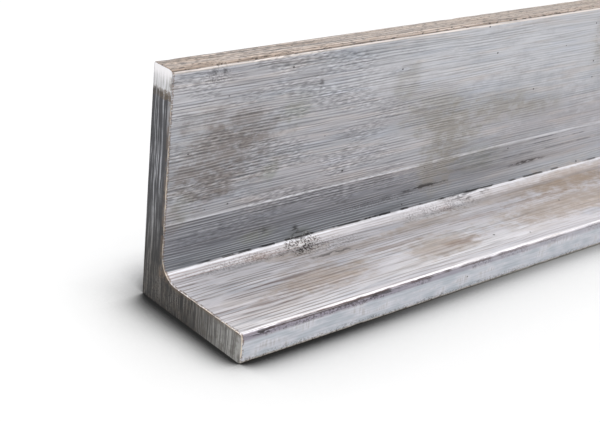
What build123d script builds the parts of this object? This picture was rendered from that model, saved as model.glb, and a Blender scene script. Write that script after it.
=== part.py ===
"""An extruded aluminium angle bar: one straight length of unequal-leg angle, lying with its
short leg flat on the ground and its long leg upright, as stock is set down.

Millimetres, +Z up. X runs along the bar, the short leg reaches towards -Y, and the long leg
stands at the +Y side. The origin is the middle of the bar's box, on the ground.
"""

from build123d import *

import os

# The catalogue section, 3 x 2 x 3/8 inch
long_leg = 76.2
short_leg = 50.8
wall = 9.525
root_radius = 7.94
toe_radius = 1.8

# How far the die and the saw leave the outer corners short of sharp
outer_toe_radius = 1.0
heel_radius = 0.5
end_chamfer = 0.4

# The stock length, 36 inches
bar_length = 914.4


def rounded(shape, places, radius):
    """The flat shape with its corners at these places rounded."""
    corners = [shape.vertices().sort_by_distance(Vector(*place))[0] for place in places]
    return fillet(corners, radius)


def angle_section():
    """The L across the bar, with the long leg's outer face at the +Y side."""
    back = short_leg / 2
    front = -short_leg / 2
    inside = back - wall

    heel = (back, 0)
    short_toe_under = (front, 0)
    short_toe_over = (front, wall)
    root = (inside, wall)
    long_toe_inside = (inside, long_leg)
    long_toe_outside = (back, long_leg)

    outline = Polyline(
        heel,
        short_toe_under,
        short_toe_over,
        root,
        long_toe_inside,
        long_toe_outside,
        close=True,
    )
    section = make_face(outline)
    section = rounded(section, [root], root_radius)
    section = rounded(section, [short_toe_over, long_toe_inside], toe_radius)
    section = rounded(section, [short_toe_under, long_toe_outside], outer_toe_radius)
    section = rounded(section, [heel], heel_radius)
    return Plane.YZ * section


def angle_bar():
    """The section run along the stock length, with both sawn ends lightly deburred."""
    bar = extrude(angle_section(), amount=bar_length / 2, both=True)
    ends = bar.faces().filter_by(Plane.YZ)
    return chamfer(ends.edges(), end_chamfer)


os.makedirs("parts", exist_ok=True)
bar = angle_bar()
bar.label = "angle_bar"
export_step(bar, "parts/angle_bar.step")
print("angle_bar", "valid", bar.is_valid, "volume", round(bar.volume), "size", bar.bounding_box().size)
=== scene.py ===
"""The aluminium angle bar as stock is found: mill finish with drawing lines, stains and saw-cut ends.

Metres. The bar is one mesh, swept along the section that the frame's box and the sizes below give.
Patterns are placed in bar millimetres: X along the bar from the near end, Y from the long leg's
outer face (the short leg reaches to -50.8), Z above the ground.
"""

import math
import random

import bpy
from mathutils import Matrix, Vector, noise


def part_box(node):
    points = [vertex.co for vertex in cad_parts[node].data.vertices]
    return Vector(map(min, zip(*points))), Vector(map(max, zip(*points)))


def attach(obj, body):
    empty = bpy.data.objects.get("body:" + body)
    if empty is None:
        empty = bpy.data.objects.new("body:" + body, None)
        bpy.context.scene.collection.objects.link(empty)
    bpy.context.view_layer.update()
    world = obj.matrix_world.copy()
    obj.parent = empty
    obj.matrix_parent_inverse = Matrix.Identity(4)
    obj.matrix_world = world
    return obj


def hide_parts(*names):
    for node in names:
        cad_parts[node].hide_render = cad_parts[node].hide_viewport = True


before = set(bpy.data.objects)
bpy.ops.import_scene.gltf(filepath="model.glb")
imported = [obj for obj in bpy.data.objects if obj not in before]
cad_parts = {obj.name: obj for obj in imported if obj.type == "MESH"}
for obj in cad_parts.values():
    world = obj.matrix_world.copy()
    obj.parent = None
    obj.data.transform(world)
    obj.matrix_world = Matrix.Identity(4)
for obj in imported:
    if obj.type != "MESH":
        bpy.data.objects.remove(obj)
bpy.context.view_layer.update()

MM = 0.001

# The section, beside what the frame's box gives
WALL = 9.525 * MM
ROOT_RADIUS = 7.94 * MM
TOE_RADIUS = 1.8 * MM
OUTER_TOE_RADIUS = 1.0 * MM
HEEL_RADIUS = 0.5 * MM

# Mesh spacing
ACROSS_STEP = 0.62 * MM
ROUNDING_STEPS = 6
ROOT_STEPS = 26
WALL_STEPS = 14
NEAR_STEP = 2.6 * MM
FAR_STEP = 6.5 * MM
NEAR_SPAN = 230 * MM
END_STATIONS = [0.0, 0.12 * MM, 0.3 * MM, 0.6 * MM, 1.1 * MM, 1.9 * MM]

# Relief that is real shape
DIE_LINE_DEPTH = 0.035 * MM
DIE_LINE_SEED = 11
DEEP_DIE_LINES = 26
WAVE_DEPTH = 0.05 * MM
EDGE_WEAR = 0.48 * MM
WEAR_REACH = 2 * MM
SAW_RELIEF = 0.07 * MM
SAW_SEED = 20
END_EDGE = 0.38 * MM

# The floor, and the contact shadow painted on it where the bar stands: darkest near the camera, less
# far away
FLOOR_HALF = 12.0
FLOOR_LEVEL = 0.96
CONTACT_SHADOW_LEVELS = (0.04, 0.45)
CONTACT_SHADOW_SPAN = (30 * MM, 160 * MM)
CONTACT_SHADOW_REACH = 30 * MM
CONTACT_SHADOW_FULL = 0.56

# The photograph's camera
PHOTO_WIDTH = 600
FOCAL_PIXELS = 1280.5
SENSOR = 36.0
HEADING = math.radians(42.206)
DOWNWARD = math.radians(23.717)
ROLL = math.radians(5.969)
CAMERA_FROM_HEEL = Vector((-204.6, -295.1, 189.9)) * MM

bar_low, bar_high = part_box("angle_bar")
near_end = bar_low[0]
far_end = bar_high[0]
back_face = bar_high[1]
toe_face = bar_low[1]
top_face = bar_high[2]
ground = bar_low[2]
inside_face = back_face - WALL
short_leg_top = ground + WALL
near_heel = Vector((near_end, back_face, ground))

# The section's outer corners: place, the way out of each, radius
CORNERS = [
    (back_face, ground, 1, -1, HEEL_RADIUS),
    (toe_face, ground, -1, -1, OUTER_TOE_RADIUS),
    (back_face, top_face, 1, 1, OUTER_TOE_RADIUS),
    (toe_face, short_leg_top, -1, 1, TOE_RADIUS),
    (inside_face, top_face, -1, 1, TOE_RADIUS),
]


def srgb(red, green, blue):
    """A colour as a screen shows it, 0 to 255, as Blender's linear values."""
    def linear(value):
        value /= 255
        return value / 12.92 if value <= 0.04045 else ((value + 0.055) / 1.055) ** 2.4
    return (linear(red), linear(green), linear(blue), 1.0)


# The section's outline

def softened(point):
    """A point of the sharp outline, moved onto the rounding where it lies in a rounded corner."""
    for corner_y, corner_z, out_y, out_z, radius in CORNERS:
        centre = Vector((corner_y - out_y * radius, corner_z - out_z * radius))
        from_centre = point - centre
        reach = radius * 1.001
        if 0 <= from_centre.x * out_y <= reach and 0 <= from_centre.y * out_z <= reach:
            return centre + from_centre.normalized() * radius
    return point.copy()


def spaced(length, step, fine):
    """Distances from a toe inwards: close together over the rounding, then evenly spaced."""
    places = [fine * (i / ROUNDING_STEPS) ** 1.5 for i in range(ROUNDING_STEPS + 1)]
    count = max(2, round((length - fine) / step))
    places += [fine + (length - fine) * i / count for i in range(1, count + 1)]
    return places


def section_rows():
    """Pairs of outer and inner points, from the long leg's top down to the heel and out to the toe."""
    rows = []
    long_leg_span = top_face - (short_leg_top + ROOT_RADIUS)
    for down in spaced(long_leg_span, ACROSS_STEP, TOE_RADIUS):
        height = top_face - down
        rows.append((Vector((back_face, height)), Vector((inside_face, height))))

    centre = Vector((inside_face - ROOT_RADIUS, short_leg_top + ROOT_RADIUS))
    reach = ROOT_RADIUS + WALL
    for step in range(1, ROOT_STEPS):
        angle = math.pi / 2 * step / ROOT_STEPS
        turn = Vector((math.cos(angle), -math.sin(angle)))
        rows.append((centre + turn * reach / max(turn.x, -turn.y), centre + turn * ROOT_RADIUS))

    short_leg_span = (inside_face - ROOT_RADIUS) - toe_face
    for inward in reversed(spaced(short_leg_span, ACROSS_STEP, TOE_RADIUS)):
        across = toe_face + inward
        rows.append((Vector((across, ground)), Vector((across, short_leg_top))))
    return rows


def wall_shares():
    """Shares of the wall from the outer face to the inner one, closer together at both."""
    return [0.5 - 0.5 * math.cos(math.pi * i / WALL_STEPS) for i in range(WALL_STEPS + 1)]


def section_grid():
    """Every row's points across the wall, with the toes rounded."""
    grid = []
    rows = section_rows()
    last = len(rows) - 1
    for number, (outer, inner) in enumerate(rows):
        if number in (0, last):
            line = [softened(outer.lerp(inner, share)) for share in wall_shares()]
        else:
            line = [softened(outer).lerp(softened(inner), share) for share in wall_shares()]
        grid.append(line)
    return grid


def outline_of(grid):
    """The closed outline as places in the grid: outer face, toe, inner face, top."""
    last = len(grid) - 1
    outer = [(row, 0) for row in range(last + 1)]
    toe = [(last, column) for column in range(1, WALL_STEPS)]
    inner = [(row, WALL_STEPS) for row in range(last, -1, -1)]
    top = [(0, column) for column in range(WALL_STEPS - 1, 0, -1)]
    return outer + toe + inner + top


def stations():
    """Places along the bar: close at both ends, fine where the photograph looks, wider beyond."""
    places = [near_end + offset for offset in END_STATIONS]
    while places[-1] < near_end + NEAR_SPAN:
        places.append(places[-1] + NEAR_STEP)
    while places[-1] < far_end - END_STATIONS[-1] - FAR_STEP:
        places.append(places[-1] + FAR_STEP)
    return places + [far_end - offset for offset in reversed(END_STATIONS)]


# Relief

def die_lines(count):
    """One height for each outline point: the lines that the die draws along the whole bar."""
    rng = random.Random(DIE_LINE_SEED)
    fine = [rng.uniform(-1, 1) for _ in range(count)]
    heights = [0.5 * fine[i] + 0.25 * (fine[i - 1] + fine[(i + 1) % count]) for i in range(count)]
    for _ in range(DEEP_DIE_LINES):
        place = rng.randrange(count)
        heights[place] -= rng.uniform(1.2, 3.0)
    return heights


def near_edge(point):
    """1 on the section's outer corners, falling to 0 a little way from them."""
    gap = min((point - Vector(corner[:2])).length for corner in CORNERS)
    return max(0.0, 1 - gap / WEAR_REACH)


def skin_inset(x, point, die_height):
    """How far the drawn surface lies inside the exact section at this place."""
    along = x / MM
    y, z = point.x / MM, point.y / MM
    across = y + z
    lines = DIE_LINE_DEPTH * die_height * (0.7 + 0.3 * noise.noise((along / 90, across / 7, 3)))
    wave = WAVE_DEPTH * noise.noise((along / 70, y / 14, z / 14))
    worn = max(0.0, noise.noise((along / 6, y / 5, z / 5 + 9)) - 0.12)
    wear = EDGE_WEAR * worn * near_edge(point)
    end_gap = min(x - near_end, far_end - x)
    edge = END_EDGE * (0.75 + 0.5 * noise.noise((along / 3, across / 4, 5)))
    end_round = max(0.0, edge - end_gap)
    return max(0.0, 0.4 * WAVE_DEPTH - lines - wave) + wear + end_round


def saw_relief(point, seed):
    """How deep the saw's lines cut into an end face at this place, upright lines with a slight sway."""
    y, z = point.x / MM, point.y / MM
    sway = 0.35 * noise.noise((z / 16, seed, 1))
    broad = noise.noise(((y + sway) / 1.1, z / 60, seed))
    fine = noise.noise(((y + sway) / 0.45, z / 35, seed + 4))
    return SAW_RELIEF * (0.6 + broad + 0.5 * fine)


# The bar's mesh

def outward(points):
    """Each outline point's outward direction."""
    count = len(points)
    directions = []
    for i in range(count):
        along = points[(i + 1) % count] - points[i - 1]
        directions.append(Vector((-along.y, along.x)).normalized())
    outermost = max(range(count), key=lambda i: points[i].x)
    if directions[outermost].x < 0:
        directions = [-direction for direction in directions]
    return directions


def skin_vertices(points, places):
    """The outline at every place along the bar, set in by the relief."""
    directions = outward(points)
    heights = die_lines(len(points))
    vertices = []
    for x in places:
        for point, direction, height in zip(points, directions, heights):
            moved = point - direction * skin_inset(x, point, height)
            vertices.append((x, moved.x, max(moved.y, ground)))
    return vertices


def skin_faces(count, rings):
    """The four-sided faces between neighbouring rings of vertices."""
    faces = []
    for a in range(0, (rings - 1) * count, count):
        b = a + count
        for i in range(count):
            j = (i + 1) % count
            faces.append((a + i, a + j, b + j, b + i))
    return faces


def end_faces(grid, number_at, vertices, x, facing, seed):
    """A gridded saw cut at one end: adds its inner vertices, and gives its faces."""
    for row, line in enumerate(grid):
        for column, point in enumerate(line):
            if (row, column) in number_at:
                continue
            number_at[(row, column)] = len(vertices)
            depth = max(0.0, saw_relief(point, seed))
            vertices.append((x + facing * depth, point.x, point.y))
    faces = []
    for row in range(len(grid) - 1):
        for column in range(WALL_STEPS):
            corners = [(row, column), (row, column + 1), (row + 1, column + 1), (row + 1, column)]
            if facing < 0:
                corners.reverse()
            faces.append(tuple(number_at[corner] for corner in corners))
    return faces


def bar_mesh():
    """The swept skin with its relief, closed by a gridded saw-cut face at each end."""
    grid = section_grid()
    outline = outline_of(grid)
    places = stations()
    count, rings = len(outline), len(places)
    vertices = skin_vertices([grid[row][column] for row, column in outline], places)
    skin = skin_faces(count, rings)
    cuts = []
    for ring, x, facing in ((0, near_end, 1), (rings - 1, far_end, -1)):
        number_at = {place: ring * count + number for number, place in enumerate(outline)}
        cuts += end_faces(grid, number_at, vertices, x, facing, SAW_SEED + ring)

    mesh = bpy.data.meshes.new("angle_bar_metal")
    mesh.from_pydata(vertices, [], skin + cuts)
    for number, polygon in enumerate(mesh.polygons):
        polygon.use_smooth = True
        polygon.material_index = 0 if number < len(skin) else 1
    mesh.update()
    return mesh


# Material building blocks

def socket(sockets, identifier):
    """The socket with this identifier, where several share a name."""
    return next(one for one in sockets if one.identifier == identifier)


class Nodes:
    """A material's node tree, with short calls for the sums and patterns used here."""

    def __init__(self, name):
        self.material = bpy.data.materials.new(name)
        self.material.use_nodes = True
        self.tree = self.material.node_tree
        self.shader = self.tree.nodes["Principled BSDF"]

    def add(self, kind, **settings):
        node = self.tree.nodes.new(kind)
        for key, value in settings.items():
            setattr(node, key, value)
        return node

    def put(self, value, target):
        if isinstance(value, bpy.types.NodeSocket):
            self.tree.links.new(value, target)
        else:
            target.default_value = value

    def math(self, operation, *values):
        node = self.add("ShaderNodeMath", operation=operation)
        for value, target in zip(values, node.inputs):
            self.put(value, target)
        return node.outputs[0]

    def product(self, *values):
        result = values[0]
        for value in values[1:]:
            result = self.math("MULTIPLY", result, value)
        return result

    def total(self, *values):
        result = values[0]
        for value in values[1:]:
            result = self.math("ADD", result, value)
        return result

    def largest(self, *values):
        result = values[0]
        for value in values[1:]:
            result = self.math("MAXIMUM", result, value)
        return result

    def vector(self, operation, *values):
        node = self.add("ShaderNodeVectorMath", operation=operation)
        for value, target in zip(values, node.inputs):
            self.put(value, target)
        return node.outputs["Value"] if operation == "LENGTH" else node.outputs["Vector"]

    def joined(self, x, y, z):
        node = self.add("ShaderNodeCombineXYZ")
        for value, target in zip((x, y, z), node.inputs):
            self.put(value, target)
        return node.outputs[0]

    def grey(self, value):
        return self.joined(value, value, value)

    def rise(self, value, low, high, start=0.0, stop=1.0):
        """Goes smoothly from start to stop as the value goes from low to high."""
        node = self.add("ShaderNodeMapRange", interpolation_type="SMOOTHSTEP")
        given = {"Value": value, "From Min": low, "From Max": high, "To Min": start, "To Max": stop}
        for name, number in given.items():
            self.put(number, node.inputs[name])
        return node.outputs["Result"]

    def between(self, value, low, high, soft):
        """1 from low to high, falling to 0 over soft outside each."""
        above = self.rise(value, low - soft, low)
        below = self.rise(value, high, high + soft, 1.0, 0.0)
        return self.product(above, below)

    def mix(self, share, first, second, blend="MIX"):
        node = self.add("ShaderNodeMix", data_type="RGBA", blend_type=blend, clamp_factor=True)
        self.put(share, socket(node.inputs, "Factor_Float"))
        self.put(first, socket(node.inputs, "A_Color"))
        self.put(second, socket(node.inputs, "B_Color"))
        return socket(node.outputs, "Result_Color")

    def noise(self, vector, detail=2.0, roughness=0.5):
        node = self.add("ShaderNodeTexNoise")
        self.put(vector, node.inputs["Vector"])
        node.inputs["Scale"].default_value = 1.0
        node.inputs["Detail"].default_value = detail
        node.inputs["Roughness"].default_value = roughness
        return node.outputs["Fac"]

    def dots(self, vector, size, kept):
        """1 in small spots, in this share of the pattern's cells."""
        node = self.add("ShaderNodeTexVoronoi")
        self.put(vector, node.inputs["Vector"])
        node.inputs["Scale"].default_value = 1.0
        chance = self.add("ShaderNodeSeparateColor")
        self.put(node.outputs["Color"], chance.inputs[0])
        spot = self.rise(node.outputs["Distance"], size * 0.5, size, 1.0, 0.0)
        return self.product(spot, self.rise(chance.outputs[0], 1 - kept, 1.02 - kept))


class Bar(Nodes):
    """Nodes that know the place on the bar, in bar millimetres."""

    def __init__(self, name):
        super().__init__(name)
        self.colour = None
        place = self.add("ShaderNodeTexCoord").outputs["Object"]
        from_heel = self.vector("SUBTRACT", place, tuple(near_heel))
        self.place = self.vector("MULTIPLY", from_heel, (1 / MM, 1 / MM, 1 / MM))
        parts = self.add("ShaderNodeSeparateXYZ")
        self.put(self.place, parts.inputs[0])
        self.x, self.y, self.z = parts.outputs
        self.across = self.math("ADD", self.y, self.z)
        self.ragged = self.noise(self.grain(5.5, 3.4, 2.8, 5), detail=5, roughness=0.66)

    def grain(self, x, y, z, shift=0.0):
        """The place in units of these lengths in mm, so that a pattern has that grain."""
        scaled = self.vector("MULTIPLY", self.place, (1 / x, 1 / y, 1 / z))
        return self.vector("ADD", scaled, (shift, shift * 0.7, shift * 1.3))

    def patch(self, centre, radii):
        """1 in an oval patch with a ragged rim, falling to 0 outside."""
        gap = self.vector("SUBTRACT", self.place, centre)
        share = self.vector("MULTIPLY", gap, tuple(1 / radius for radius in radii))
        rim = self.total(self.vector("LENGTH", share), self.product(self.ragged, PATCH_RAGGEDNESS))
        return self.rise(rim, *PATCH_FADE, 1.0, 0.0)

    def strayed(self, value, by, pattern=None):
        """The value moved up to half of this much either way, so that what follows it is uneven."""
        pattern = self.ragged if pattern is None else pattern
        return self.total(value, self.product(self.math("SUBTRACT", pattern, 0.5), by))

    def broken(self, grain, low, high, start=0.0, shift=0.0):
        """From start to 1 in clouds of this grain, for breaking a line or a field up."""
        return self.rise(self.noise(self.grain(*grain, shift), detail=3), low, high, start, 1.0)

    def paint(self, share, colour, strength=1.0):
        """Lays a colour over what is there."""
        self.colour = self.mix(self.product(share, strength), self.colour, colour)

    def shade(self, factor):
        """Multiplies what is there by a brightness."""
        self.colour = self.mix(1.0, self.colour, self.grey(factor), "MULTIPLY")

    def finish(self, relief, height, metallic, roughness):
        """The colour, a roughness that follows the relief, and the relief as bump, into the shader."""
        self.put(self.colour, self.shader.inputs["Base Color"])
        self.shader.inputs["Metallic"].default_value = metallic
        self.put(self.rise(relief, 0.3, 0.7, *roughness), self.shader.inputs["Roughness"])
        bump = self.add("ShaderNodeBump")
        bump.inputs["Distance"].default_value = height
        self.put(relief, bump.inputs["Height"])
        self.put(bump.outputs["Normal"], self.shader.inputs["Normal"])
        return self.material


# How ragged a patch's outline is, and where it fades, counted in its radii with the raggedness added
PATCH_RAGGEDNESS = 2.2
PATCH_FADE = (1.5, 2.5)

# Marks of use, in bar millimetres: centre, radii, strength

LONG_LEG_TAN = [
    ((21, -9.5, 48), (21, 4, 13), 0.75),
    ((14, -9.5, 40), (12, 4, 9), 0.75),
    ((24, -9.5, 51), (17, 4, 8), 0.65),
    ((3, -9.5, 27), (4, 4, 6), 0.5),
]
OLIVE_STAINS = [
    ((97, -9.5, 58), (6, 4, 8), 0.5),
    ((112, -9.5, 47), (15, 4, 8), 0.65),
    ((123, -9.5, 37), (13, 4, 11), 0.8),
    ((117, -9.5, 24), (10, 4, 10), 0.75),
    ((148, -9.5, 43), (16, 4, 6), 0.7),
    ((170, -9.5, 40), (14, 4, 4), 0.6),
    ((206, -9.5, 62), (9, 4, 14), 0.6),
]
SHORT_LEG_TAN = [
    ((44, -34, 9.5), (20, 7, 4), 0.75),
    ((50, -16, 9.5), (14, 3.5, 4), 0.6),
    ((66, -22, 9.5), (20, 2.5, 4), 0.5),
    ((96, -36, 9.5), (16, 7, 4), 0.6),
    ((104, -20, 9.5), (20, 3, 4), 0.55),
    ((150, -17, 9.5), (24, 4, 4), 0.55),
    ((188, -17, 9.5), (30, 7, 4), 1.0),
    ((172, -33, 9.5), (44, 8, 4), 0.75),
    ((14, -42, 9.5), (18, 8, 4), 0.15),
]
RUST_TINGES = [
    ((36, -14, 9.5), (6, 1.4, 3), 0.85),
    ((18, -38, 9.5), (7, 1.4, 3), 0.45),
    ((80, -28, 9.5), (14, 1.2, 3), 0.5),
    ((104, -37, 9.5), (8, 2.0, 3), 0.5),
    ((120, -15, 9.5), (5, 1.4, 3), 0.6),
    ((126, -25, 9.5), (14, 1.2, 3), 0.4),
    ((160, -24, 9.5), (20, 1.4, 3), 0.4),
]
GREEN_STAINS = [
    ((49, -9.5, 57), (6, 4, 5), 0.4),
    ((40, -9.5, 37), (3, 4, 4), 0.4),
    ((6, -9.5, 31), (4, 4, 5), 0.3),
    ((36, -9.5, 16), (8, 4, 2.2), 0.5),
    ((54, -10.5, 12), (5, 3, 2.5), 0.5),
    ((140, -9.5, 24), (12, 4, 5), 0.35),
]
DARK_MARKS = [
    ((54, -9.9, 12.2), (3.4, 3, 1.4), 0.95),
    ((52, -9.5, 14), (1.6, 3, 2.2), 0.8),
    ((38, -9.5, 17), (4, 4, 1.2), 0.5),
    ((98, -9.5, 17), (12, 3, 1.2), 0.3),
    ((113, -9.5, 18), (10, 3, 0.8), 0.8),
    ((169, -9.5, 17.5), (10, 3, 0.8), 0.85),
    ((58, -9.5, 64), (1.0, 4, 1.7), 0.6),
    ((15, -9.5, 73), (1.3, 4, 1.9), 0.8),
    ((19, -9.5, 73), (1.0, 4, 1.6), 0.6),
    ((52, -15, 9.5), (9, 2.5, 3), 0.45),
    ((60, -22, 9.5), (10, 1.0, 3), 0.6),
    ((132, -11.5, 11), (12, 2, 2), 0.6),
    ((8, -50.2, 8.6), (6, 2, 0.6), 0.9),
    ((50, -50.2, 8.6), (12, 2, 0.6), 0.7),
]
GRIT_PATCHES = [
    ((53, -13.5, 9.7), (8, 4.2, 3), 1.0),
    ((62, -17, 9.5), (14, 4, 3), 0.35),
    ((30, -14, 9.5), (22, 2.2, 3), 0.4),
    ((17, -9.5, 72.5), (6, 4, 3), 0.35),
    ((92, -9.5, 16.5), (26, 3, 1.2), 0.2),
    ((118, -14, 9.5), (22, 3, 3), 0.4),
    ((30, -50.5, 1.2), (60, 2, 0.9), 0.4),
    ((110, -50.5, 1.2), (60, 2, 0.9), 0.4),
]
PALE_PATCHES = [
    ((205, -9.5, 68), (85, 4, 27), 0.8),
    ((120, -9.5, 66), (60, 4, 14), 0.6),
    ((110, -9.5, 34), (40, 4, 7), 0.4),
    ((200, -9.5, 20), (40, 4, 9), 0.5),
    ((8, -9.5, 62), (10, 4, 12), 0.35),
    ((7, -9.5, 42), (5, 4, 10), 0.5),
    ((75, -30, 9.5), (24, 7, 4), 0.6),
    ((14, -24, 9.5), (16, 8, 4), 0.5),
]

# The bare metal; the short leg's top is painted paler, standing in for the light from above
INNER_TONE = srgb(171, 173, 179)
INNER_DULL = srgb(180, 178, 182)
INNER_PALE = srgb(203, 204, 209)
SHORT_TONE_LIT = srgb(232, 229, 233)
SHORT_PALE_LIT = srgb(240, 238, 241)
COOL_TINT = srgb(182, 189, 202)
WARM_TINT = srgb(204, 193, 186)

# The dark band above the root, a painted dark reflection, and the lines in it
BAND_REFLECTION_TONE = srgb(125, 128, 135)
BAND_LINE_TONE = srgb(226, 227, 232)
GROOVE_TONE = srgb(84, 86, 92)
BAND_EDGE = (26.8, 25.4)
BAND_LINE = (26.7, 27.3)
GROOVE_HEIGHTS = (26.1, 24.3, 21.2)
GROOVE_HALF = 0.15

# Stains and dirt
LONG_TAN_TONE = srgb(132, 125, 122)
SHORT_TAN_TONE = srgb(190, 171, 153)
OLIVE_TONE = srgb(155, 151, 144)
RUST_TONE = srgb(160, 132, 114)
GREEN_TONE = srgb(132, 136, 120)
DIRT_TONE = srgb(44, 41, 42)
GRIT_TONE = srgb(66, 60, 58)
GRIT_PALE = srgb(226, 226, 226)

# The short leg's toe; the rounding's tone is a stain and a painted dark reflection, the bright line a
# painted highlight
TOE_COOL = srgb(186, 192, 200)
TOE_PALE = srgb(214, 214, 221)
TOE_SMUDGE = srgb(160, 156, 150)
ROUNDING_STAIN_AND_REFLECTION = srgb(146, 139, 151)
ROUNDING_GRIT = srgb(78, 70, 76)
ROUNDING_BLACK = srgb(66, 50, 50)
TOE_HIGHLIGHT = srgb(255, 252, 250)
FOOT_TONE = srgb(176, 166, 150)
FOOT_GRIT = srgb(92, 78, 60)

# The long leg's top, and the painted highlight on its inner rounding
TOP_DARK = srgb(132, 117, 105)
TOP_PALE = srgb(176, 160, 148)
TOP_SPECKS = srgb(62, 50, 44)
TOP_HIGHLIGHT = srgb(244, 234, 228)

# The root: painted shade on the bend, a painted highlight line and a black line
ROOT_SHADE = srgb(96, 98, 103)
ROOT_LOWER_SHADE = srgb(158, 154, 158)
ROOT_HIGHLIGHT = srgb(236, 236, 242)
ROOT_BLACK = srgb(18, 17, 19)

# The drawing lines, and the fine dark ones' spacing on the long leg and on the short one, in mm
LONG_LINE_TONE = srgb(88, 88, 92)
SHORT_LINE_TONE = srgb(136, 118, 114)
BRIGHT_LINE_TONE = srgb(238, 238, 242)
LONG_LINE_PITCH = 0.95
SHORT_LINE_PITCH = 1.6
LINE_DRIFT = 18

# The scuffs across them, in mm
SCUFF_LENGTH = 2.6
SCUFF_WIDTH = 0.5
SCUFF_SLOPE = -0.05

# The rim beside the saw cut: a cream burr line, brightened as a painted highlight, and a brown line
RIM_CREAM = srgb(226, 210, 190)
RIM_BROWN = srgb(120, 102, 88)

# The saw cut: two tones near the ground and higher up, darker than the skin partly as painted shade,
# and what lies on them
SAW_DARK = (srgb(40, 38, 37), srgb(66, 66, 70))
SAW_LINE = (srgb(112, 108, 104), srgb(172, 173, 178))
SAW_TOE_TONE = srgb(178, 177, 174)
SAW_STAIN = srgb(74, 66, 58)
SAW_SPECKS = srgb(28, 26, 26)
SAW_RIM = srgb(112, 94, 78)
SAW_SWAY = 1.6

# The pale cap at the top of the saw cut
CAP_DULL = srgb(178, 177, 176)
CAP_PALE = srgb(236, 236, 240)
CAP_WHITE = srgb(250, 248, 250)
CAP_SMUDGE = srgb(104, 90, 72)
CAP_SIDE = srgb(116, 102, 86)
CAP_FOOT = (67.6, 69)
CAP_TOP = (70, 75)
SMUDGE_SPAN = (66.6, 68.8)


class Marks:
    """The skin's faces and the marks that drawing and handling leave, as patterns from 0 to 1."""

    def __init__(self, bar):
        self.on_short_top = bar.product(bar.rise(bar.z, 8.6, 9.2), bar.rise(bar.across, 1.0, 0.4))
        self.on_inner = bar.product(bar.rise(bar.y, -8.9, -9.3), bar.rise(bar.across, 0.4, 1.0))
        self.on_toe = bar.rise(bar.y, -50.1, -50.5)

        self.fine = bar.noise(bar.grain(22, 0.62, 0.36), detail=2, roughness=0.6)
        self.long = bar.noise(bar.grain(120, 1.3, 0.8, 6), detail=2, roughness=0.5)
        self.patchy = bar.noise(bar.grain(11, 9, 9, 22), detail=3)
        self.grit = bar.noise(bar.grain(0.62, 0.8, 0.5, 4), detail=1, roughness=0.6)
        self.tint = bar.noise(bar.grain(26, 4.5, 2.6, 14), detail=3, roughness=0.6)
        self.pits = bar.dots(bar.grain(8, 7, 5, 3), 0.075, 0.5)

        near = bar.product(bar.rise(bar.x, 60, 130, 1.0, 0.25), bar.rise(bar.z, 12, 24))
        self.scuffed = bar.product(near, bar.broken((24, 12, 8), 0.44, 0.58, shift=8))
        slant = bar.total(bar.z, bar.product(bar.y, 0.5), bar.product(bar.x, SCUFF_SLOPE))
        slant = bar.product(slant, 1 / SCUFF_WIDTH)
        self.scuffs = bar.noise(bar.joined(bar.product(bar.x, 1 / SCUFF_LENGTH), slant, 3.0), detail=1)

        turns_up = bar.product(bar.z, 1 / LONG_LINE_PITCH)
        turns = bar.total(turns_up, bar.product(bar.y, 1 / SHORT_LINE_PITCH))
        drift = bar.product(bar.noise(bar.grain(60, 8, 5, 10), detail=3), LINE_DRIFT)
        comb = bar.math("SINE", bar.total(bar.product(turns, 2 * math.pi), drift))
        kept = bar.broken((20, 4, 2.2), 0.36, 0.54, shift=11)
        self.dark_comb = bar.product(bar.rise(comb, 0.3, 0.95), kept)
        self.bright_comb = bar.product(bar.rise(comb, -0.4, -0.95), kept)


def lay_ground_tones(bar, marks):
    """The bare metal's tones: cooler on the long leg, and the short leg's top painted paler as painted
    light from above.
    """
    broad = bar.rise(bar.noise(bar.grain(90, 7, 7, 4), detail=3), 0.36, 0.64)
    inner = bar.mix(broad, INNER_TONE, INNER_DULL)
    # painted light: the short leg's top gets a paler copy of the metal's tone
    short = bar.mix(broad, SHORT_TONE_LIT, SHORT_PALE_LIT)
    bar.colour = bar.mix(marks.on_short_top, inner, short)
    for centre, radii, strength in PALE_PATCHES:
        pale = SHORT_PALE_LIT if centre[2] < 10 else INNER_PALE
        bar.paint(bar.patch(centre, radii), pale, strength)
    bar.paint(bar.rise(marks.tint, 0.46, 0.34), COOL_TINT, 0.3)
    bar.paint(bar.rise(marks.tint, 0.54, 0.66), WARM_TINT, 0.3)


def lay_dark_band(bar, marks):
    """A painted dark reflection above the root, deepest towards it, bounded by a bright drawing line.
    """
    # painted dark reflection: strongest at the near end and towards the root
    reach = bar.rise(bar.x, 60, 200, 1.0, 0.05)
    fade = bar.rise(bar.z, 27, 14, 0.55, 1.0)
    bar.paint(bar.product(marks.on_inner, bar.rise(bar.z, *BAND_EDGE), reach, fade), BAND_REFLECTION_TONE)
    line = bar.product(bar.between(bar.z, *BAND_LINE, 0.25), bar.rise(bar.x, 0, 20, 0.5, 1.0))
    line = bar.product(marks.on_inner, line, bar.rise(marks.patchy, 0.3, 0.5, 0.6, 1.0))
    bar.paint(line, BAND_LINE_TONE, 0.85)
    for height in GROOVE_HEIGHTS:
        groove = bar.between(bar.z, height - GROOVE_HALF, height + GROOVE_HALF, 0.2)
        groove = bar.product(marks.on_inner, groove, bar.rise(marks.patchy, 0.4, 0.55))
        bar.paint(groove, GROOVE_TONE, 0.6)


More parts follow.
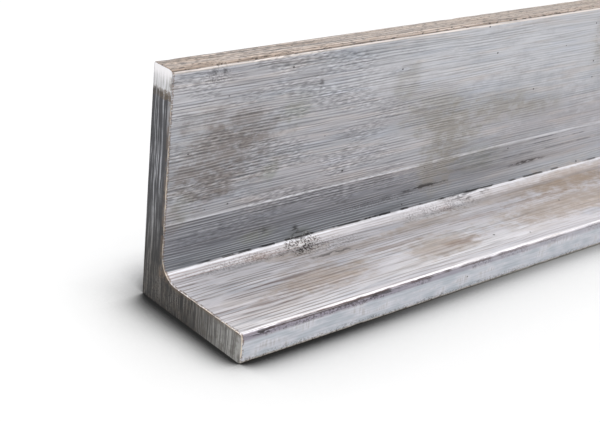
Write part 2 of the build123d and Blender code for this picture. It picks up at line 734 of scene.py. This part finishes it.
def lay_stains(bar, marks):
    """Stains where the bar shows them, and like ones scattered over the rest of its length."""
    groups = (
        (LONG_LEG_TAN, LONG_TAN_TONE),
        (OLIVE_STAINS, OLIVE_TONE),
        (SHORT_LEG_TAN, SHORT_TAN_TONE),
        (RUST_TINGES, RUST_TONE),
        (GREEN_STAINS, GREEN_TONE),
    )
    blotches = bar.noise(bar.grain(5, 3, 3, 15), detail=4, roughness=0.7)
    thinnest = bar.rise(marks.on_short_top, 0.0, 1.0, 0.35, 0.75)
    mottled = bar.rise(blotches, 0.36, 0.56, thinnest, 1.0)
    for stains, tone in groups:
        for centre, radii, strength in stains:
            bar.paint(bar.product(bar.patch(centre, radii), mottled), tone, strength)
    cloud = bar.noise(bar.grain(42, 20, 16, 12), detail=5, roughness=0.62)
    elsewhere = bar.largest(bar.rise(bar.x, 205, 240), bar.rise(bar.y, -7, -3))
    stain = bar.mix(marks.on_short_top, OLIVE_TONE, SHORT_TAN_TONE)
    bar.paint(bar.product(elsewhere, bar.rise(cloud, 0.48, 0.66)), stain, 0.5)
    bar.paint(bar.product(elsewhere, bar.rise(cloud, 0.58, 0.7)), LONG_TAN_TONE, 0.25)


def lay_toe(bar, marks):
    """The short leg's toe: a pale face, a dark rounding that is part stain and part painted dark
    reflection, a painted highlight line and a dirty lower edge.
    """
    cloud = bar.noise(bar.grain(10, 3, 3, 7), detail=3)
    upright_grain = bar.noise(bar.grain(0.8, 3, 6, 6), detail=2)
    face = bar.rise(bar.y, -50.35, -50.6)
    bar.paint(face, bar.mix(bar.rise(cloud, 0.35, 0.65), TOE_COOL, TOE_PALE))
    smudged = bar.product(face, bar.rise(cloud, 0.5, 0.64), bar.rise(upright_grain, 0.42, 0.6))
    bar.paint(smudged, TOE_SMUDGE, 0.4)

    near_toe = bar.rise(bar.y, -48.6, -48.9)
    height = bar.strayed(bar.z, 0.5)
    rounding = bar.product(near_toe, bar.rise(height, 6.9, 7.9), bar.rise(height, 9.2, 9.35, 1.0, 0.0))
    # the rounding: a brown-purple stain with a painted dark reflection
    bar.paint(rounding, ROUNDING_STAIN_AND_REFLECTION, bar.rise(bar.x, 40, 150, 0.9, 0.5))
    gritty = bar.product(rounding, bar.rise(marks.patchy, 0.46, 0.58), bar.rise(marks.grit, 0.5, 0.58))
    bar.paint(gritty, ROUNDING_GRIT, bar.rise(bar.x, 40, 150, 0.7, 0.25))
    torn = bar.rise(marks.patchy, 0.4, 0.55, 0.25, 1.0)
    black = bar.product(near_toe, bar.between(height, 8.8, 9.2, 0.12), torn)
    bar.paint(black, ROUNDING_BLACK, bar.rise(bar.x, 60, 150, 0.9, 0.35))

    # painted highlight along the top of the toe's rounding
    bright = bar.product(bar.between(bar.y, -49.3, -49.15, 0.1), bar.rise(bar.z, 8.9, 9.1))
    bar.paint(bar.product(bright, bar.rise(marks.patchy, 0.35, 0.55, 0.5, 1.0)), TOE_HIGHLIGHT, 0.8)
    foot = bar.product(bar.rise(bar.y, -48.5, -50), bar.rise(height, 1.2, 0.7))
    bar.paint(foot, FOOT_TONE, 0.75)
    bar.paint(bar.product(foot, bar.rise(marks.grit, 0.56, 0.64)), FOOT_GRIT, 0.8)


def lay_top(bar, marks):
    """The long leg's top: brown with rows of specks, and a painted highlight along its inner rounding.
    """
    on_top = bar.rise(bar.z, 75.1, 75.4)
    bar.paint(on_top, bar.mix(bar.rise(marks.fine, 0.36, 0.64), TOP_DARK, TOP_PALE))
    rows = bar.noise(bar.grain(2.4, 0.7, 3, 9), detail=2, roughness=0.7)
    bar.paint(bar.product(on_top, bar.rise(rows, 0.54, 0.62)), TOP_SPECKS, 0.8)
    # painted highlight where the inner rounding catches the light
    inner_highlight = bar.product(bar.rise(bar.y, -8.6, -8.9), bar.between(bar.z, 74.75, 75.15, 0.15))
    bar.paint(inner_highlight, TOP_HIGHLIGHT, 0.95)


def lay_root(bar, marks):
    """The root: a broken black line halfway round the bend, painted shade above it, a painted highlight
    line below it, and painted shade below that.
    """
    place = bar.strayed(bar.across, 0.8)
    bend = bar.product(bar.rise(bar.y, -8.8, -9.3), bar.rise(bar.z, 17, 15), bar.rise(bar.x, -1, 1))
    # painted shade on the bend's upper part, fading along the bar
    shade_reach = bar.rise(bar.x, 70, 200, 0.6, 0.15)
    bar.paint(bar.product(bend, bar.between(place, 0.6, 3.2, 1.2), shade_reach), ROOT_SHADE)
    # painted shade dimming the bend's lower part
    bar.paint(bar.product(bend, bar.between(place, -5.5, -0.9, 1.6)), ROOT_LOWER_SHADE, 0.55)
    torn = bar.rise(marks.patchy, 0.38, 0.55, 0.35, 1.0)
    # painted highlight: a thin bright line just below the black one
    bar.paint(bar.product(bend, bar.between(place, -0.7, 0.3, 0.2), torn), ROOT_HIGHLIGHT, 0.7)
    black = bar.product(bend, bar.between(place, 0.45, 1.25, 0.2), bar.rise(bar.x, 10, 17))
    black = bar.product(black, bar.broken((7, 9, 9), 0.4, 0.5, start=0.15, shift=25))
    bar.paint(black, ROOT_BLACK, bar.rise(bar.x, 120, 240, 0.95, 0.6))


def lay_drawing_lines(bar, marks):
    """Fine dark and bright lines along the bar, and short scuffs across them in places."""
    on_short_top = marks.on_short_top
    calm = bar.product(bar.rise(marks.on_toe, 0.0, 1.0, 1.0, 0.3), bar.rise(bar.x, 60, 190, 1.0, 0.5))
    broader = bar.product(calm, bar.rise(on_short_top, 0.0, 1.0, 1.0, 0.25))
    away = bar.product(on_short_top, bar.rise(bar.x, 10, 70))
    fine = bar.product(calm, bar.rise(away, 0.0, 1.0, 1.0, 0.6))
    changes = (
        (fine, bar.rise(marks.fine, 0.46, 0.35, 0.0, -0.34)),
        (calm, bar.rise(marks.fine, 0.55, 0.66, 0.0, 0.14)),
        (broader, bar.rise(marks.long, 0.42, 0.34, 0.0, -0.24)),
        (broader, bar.rise(marks.long, 0.58, 0.66, 0.0, 0.1)),
    )
    for where, change in changes:
        bar.shade(bar.total(1.0, bar.product(where, change)))

    line_tone = bar.mix(on_short_top, LONG_LINE_TONE, SHORT_LINE_TONE)
    line_strength = bar.rise(on_short_top, 0.0, 1.0, 0.42, 0.72)
    bar.paint(bar.product(fine, marks.dark_comb), line_tone, line_strength)
    bar.paint(bar.product(calm, marks.bright_comb), BRIGHT_LINE_TONE, 0.25)
    rubbed = bar.product(calm, marks.scuffed, bar.rise(marks.scuffs, 0.36, 0.64, -0.32, 0.16))
    bar.shade(bar.total(1.0, rubbed))


def lay_small_marks(bar, marks):
    """Grit, nicks and pits, laid over the drawing lines."""
    dark_grains = bar.rise(marks.grit, 0.52, 0.58)
    pale_grains = bar.rise(marks.grit, 0.44, 0.38)
    for centre, radii, strength in GRIT_PATCHES:
        patch = bar.patch(centre, radii)
        bar.paint(bar.product(patch, dark_grains), GRIT_TONE, strength)
        bar.paint(bar.product(patch, pale_grains), GRIT_PALE, strength * 0.5)
    torn = bar.rise(bar.noise(bar.grain(4.5, 1.3, 0.7, 17), detail=2, roughness=0.6), 0.45, 0.53)
    for centre, radii, strength in DARK_MARKS:
        bar.paint(bar.product(bar.patch(centre, radii), torn), DIRT_TONE, strength)
    bar.paint(marks.pits, DIRT_TONE, 0.9)


def lay_end_edge(bar, marks):
    """The rim beside the saw cut: a fine cream line, a burr brightened as a painted highlight, then a
    fine brown one, both broken.
    """
    along = bar.strayed(bar.x, 0.9)
    inner = bar.rise(bar.y, -8.6, -9.2)
    # cream burr line, partly a painted highlight on the cut's edge
    cream = bar.product(inner, bar.between(along, -1.0, 0.2, 0.12), bar.rise(bar.z, 67, 63))
    cream = bar.product(cream, bar.broken((9, 4, 4), 0.38, 0.55, start=0.25, shift=21))
    bar.paint(cream, RIM_CREAM, 0.85)
    brown = bar.product(inner, bar.between(along, 0.3, 0.75, 0.15), bar.rise(marks.grit, 0.4, 0.56))
    bar.paint(brown, RIM_BROWN, 0.75)


def skin_material():
    """The drawn surface, its layers laid one over the other."""
    bar = Bar("mill_finish_aluminium")
    marks = Marks(bar)
    layers = (
        lay_ground_tones,
        lay_dark_band,
        lay_stains,
        lay_toe,
        lay_top,
        lay_root,
        lay_drawing_lines,
        lay_small_marks,
        lay_end_edge,
    )
    for lay in layers:
        lay(bar, marks)
    relief = bar.total(
        bar.product(marks.fine, 0.5),
        bar.product(marks.long, 0.5),
        bar.product(marks.scuffs, marks.scuffed, 0.12),
        bar.product(marks.dark_comb, -0.14),
        bar.product(marks.pits, -0.5),
    )
    return bar.finish(relief, height=0.07 * MM, metallic=0.55, roughness=(0.36, 0.52))


def lay_saw_lines(bar, fine, lines, cloud):
    """Upright saw lines, darker near the ground, dull and pale towards the toe."""
    light = bar.rise(bar.z, 8, 44)
    # painted shade in part: the end's tones are darker than the skin's, and darker still near the
    # ground
    dark_tone = bar.mix(light, *SAW_DARK)
    line_tone = bar.mix(light, *SAW_LINE)
    bar.colour = bar.mix(bar.rise(lines, 0.5, 0.6), dark_tone, line_tone)
    bar.shade(bar.rise(cloud, 0.36, 0.64, 0.8, 1.06))
    toe_side = bar.product(bar.rise(bar.y, -24, -48), bar.rise(bar.z, 12, 10))
    bar.paint(bar.product(toe_side, bar.rise(fine, 0.4, 0.58, 0.4, 1.0)), SAW_TOE_TONE, 0.85)


def lay_cap(bar, fine, grit, cloud):
    """The pale cap at the top, with a brown smudge along its foot and down its inner side."""
    height = bar.strayed(bar.z, 3.5, cloud)
    bar.paint(bar.rise(height, *CAP_FOOT), bar.mix(bar.rise(fine, 0.42, 0.58), CAP_DULL, CAP_PALE), 0.9)
    bar.paint(bar.rise(height, *CAP_TOP), CAP_WHITE, 0.95)
    smudge = bar.product(bar.between(height, *SMUDGE_SPAN, 0.5), bar.rise(bar.y, -1, -7, 0.4, 1.0))
    bar.paint(bar.product(smudge, bar.rise(grit, 0.3, 0.44)), CAP_SMUDGE, 0.7)
    side = bar.product(bar.rise(bar.y, -7.2, -8.6), bar.between(bar.z, 65, 73, 1.5))
    bar.paint(bar.product(side, bar.rise(cloud, 0.45, 0.6)), CAP_SIDE, 0.65)


def lay_saw_dirt(bar, grit, cloud):
    """Stain and specks by the heel, and a brown rim along the inner edges."""
    low = bar.rise(bar.z, 18, 7)
    bar.paint(bar.product(low, bar.rise(cloud, 0.45, 0.62)), SAW_STAIN, 0.45)
    heel_side = bar.rise(bar.y, -30, -16)
    bar.paint(bar.product(low, heel_side, bar.rise(grit, 0.56, 0.62)), SAW_SPECKS, 0.85)
    upright_rim = bar.product(bar.rise(bar.y, -7.9, -9.0), bar.rise(bar.z, 8.4, 10))
    upright_rim = bar.product(upright_rim, bar.rise(bar.z, 66, 60))
    level_rim = bar.product(bar.rise(bar.z, 8.2, 9.2), bar.rise(bar.y, -9, -18))
    rim = bar.largest(upright_rim, level_rim)
    bar.paint(bar.product(rim, bar.rise(cloud, 0.4, 0.56)), SAW_RIM, 0.6)


def saw_cut_material():
    """The sawn ends: dull grey, darkened in part as painted shade, with upright lines, dirtier at the
    heel, pale at the top.
    """
    bar = Bar("saw_cut_aluminium")
    sway = bar.product(bar.noise(bar.grain(40, 40, 14, 3), detail=1), SAW_SWAY)
    swayed = bar.vector("ADD", bar.place, bar.joined(0.0, sway, 0.0))
    broad = bar.noise(bar.vector("MULTIPLY", swayed, (0.1, 1 / 0.8, 1 / 50)), detail=1)
    fine = bar.noise(bar.vector("MULTIPLY", swayed, (0.1, 1 / 0.42, 1 / 14)), detail=2, roughness=0.6)
    grit = bar.noise(bar.grain(0.5, 0.5, 0.5, 4), detail=1)
    cloud = bar.noise(bar.grain(6, 3, 3, 2), detail=4, roughness=0.7)
    on_upright = bar.rise(bar.z, 6, 16, 0.1, 0.5)
    lines = bar.total(fine, bar.product(on_upright, bar.math("SUBTRACT", broad, fine)))
    lay_saw_lines(bar, fine, lines, cloud)
    lay_cap(bar, fine, grit, cloud)
    lay_saw_dirt(bar, grit, cloud)
    return bar.finish(lines, height=0.12 * MM, metallic=0.4, roughness=(0.46, 0.6))


# The scene

def build_bar():
    """The bar as one piece, in place of the plain solid."""
    piece = bpy.data.objects.new("angle_bar_metal", bar_mesh())
    bpy.context.scene.collection.objects.link(piece)
    piece.data.materials.append(skin_material())
    piece.data.materials.append(saw_cut_material())
    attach(piece, "root")
    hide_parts("angle_bar")


def build_floor():
    """A white floor with a painted contact shadow, seen by the eye, where the bar stands on it."""
    mesh = bpy.data.meshes.new("floor")
    corners = [(-1, -1), (1, -1), (1, 1), (-1, 1)]
    places = [(x * FLOOR_HALF, y * FLOOR_HALF, ground) for x, y in corners]
    mesh.from_pydata(places, [], [(0, 1, 2, 3)])
    floor = bpy.data.objects.new("floor", mesh)
    bpy.context.scene.collection.objects.link(floor)
    white = Nodes("white_floor")
    contact_shadow = white.add("ShaderNodeAmbientOcclusion")
    contact_shadow.inputs["Distance"].default_value = CONTACT_SHADOW_REACH
    place = white.add("ShaderNodeSeparateXYZ")
    white.put(white.add("ShaderNodeTexCoord").outputs["Object"], place.inputs[0])
    near, far = (near_end + distance for distance in CONTACT_SHADOW_SPAN)
    # painted contact shadow: darkened by the bar's ambient occlusion, less further along the bar
    darkest = white.rise(place.outputs[0], near, far, *CONTACT_SHADOW_LEVELS)
    level = white.rise(contact_shadow.outputs["AO"], CONTACT_SHADOW_FULL, 1.0, darkest, FLOOR_LEVEL)
    plain = (FLOOR_LEVEL, FLOOR_LEVEL, FLOOR_LEVEL, 1.0)
    seen = white.add("ShaderNodeLightPath").outputs["Is Camera Ray"]
    white.put(white.mix(seen, plain, white.grey(level)), white.shader.inputs["Base Color"])
    white.shader.inputs["Roughness"].default_value = 0.9
    white.shader.inputs["Specular IOR Level"].default_value = 0.0
    mesh.materials.append(white.material)


def build_world(fill, shown):
    """Even white surroundings: plain fill for the light, white for the eye and for reflections."""
    world = bpy.data.worlds.new("studio")
    bpy.context.scene.world = world
    world.use_nodes = True
    tree = world.node_tree
    background = tree.nodes["Background"]
    background.inputs["Color"].default_value = (1.0, 1.0, 1.0, 1.0)
    path = tree.nodes.new("ShaderNodeLightPath")
    seen = path.outputs["Is Camera Ray"]
    for name in ("Is Glossy Ray", "Is Transmission Ray"):
        either = tree.nodes.new("ShaderNodeMath")
        either.operation = "MAXIMUM"
        tree.links.new(seen, either.inputs[0])
        tree.links.new(path.outputs[name], either.inputs[1])
        seen = either.outputs[0]
    strength = tree.nodes.new("ShaderNodeMapRange")
    strength.inputs["To Min"].default_value = fill
    strength.inputs["To Max"].default_value = shown
    tree.links.new(seen, strength.inputs["Value"])
    tree.links.new(strength.outputs["Result"], background.inputs["Strength"])


def build_sun(towards, softness, strength):
    """One broad, even light, so that the floor is as white at the bar's far end as at the near one."""
    data = bpy.data.lights.new("key", "SUN")
    data.angle = softness
    data.energy = strength
    lamp = bpy.data.objects.new("key", data)
    lamp.rotation_mode = "QUATERNION"
    lamp.rotation_quaternion = Vector(towards).to_track_quat("Z", "Y")
    bpy.context.scene.collection.objects.link(lamp)


def build_camera():
    """The photograph's viewpoint, placed from the bar's near heel."""
    forward = Vector((
        math.sin(HEADING) * math.cos(DOWNWARD),
        math.cos(HEADING) * math.cos(DOWNWARD),
        -math.sin(DOWNWARD),
    ))
    level_right = forward.cross(Vector((0, 0, 1))).normalized()
    level_up = level_right.cross(forward)
    right = level_right * math.cos(ROLL) + level_up * math.sin(ROLL)
    up = level_up * math.cos(ROLL) - level_right * math.sin(ROLL)
    data = bpy.data.cameras.new("camera")
    data.sensor_width = SENSOR
    data.lens = FOCAL_PIXELS / PHOTO_WIDTH * SENSOR
    data.clip_start = 0.01
    camera = bpy.data.objects.new("camera", data)
    turn = Matrix((right, up, -forward)).transposed().to_4x4()
    camera.matrix_world = Matrix.Translation(near_heel + CAMERA_FROM_HEEL) @ turn
    bpy.context.scene.collection.objects.link(camera)
    bpy.context.scene.camera = camera


build_camera()
build_bar()
build_floor()
build_world(fill=0.5, shown=1.0)
build_sun(towards=(0.18, 0.18, 1.0), softness=math.radians(100), strength=1.98)
bpy.context.scene.view_settings.view_transform = "Standard"
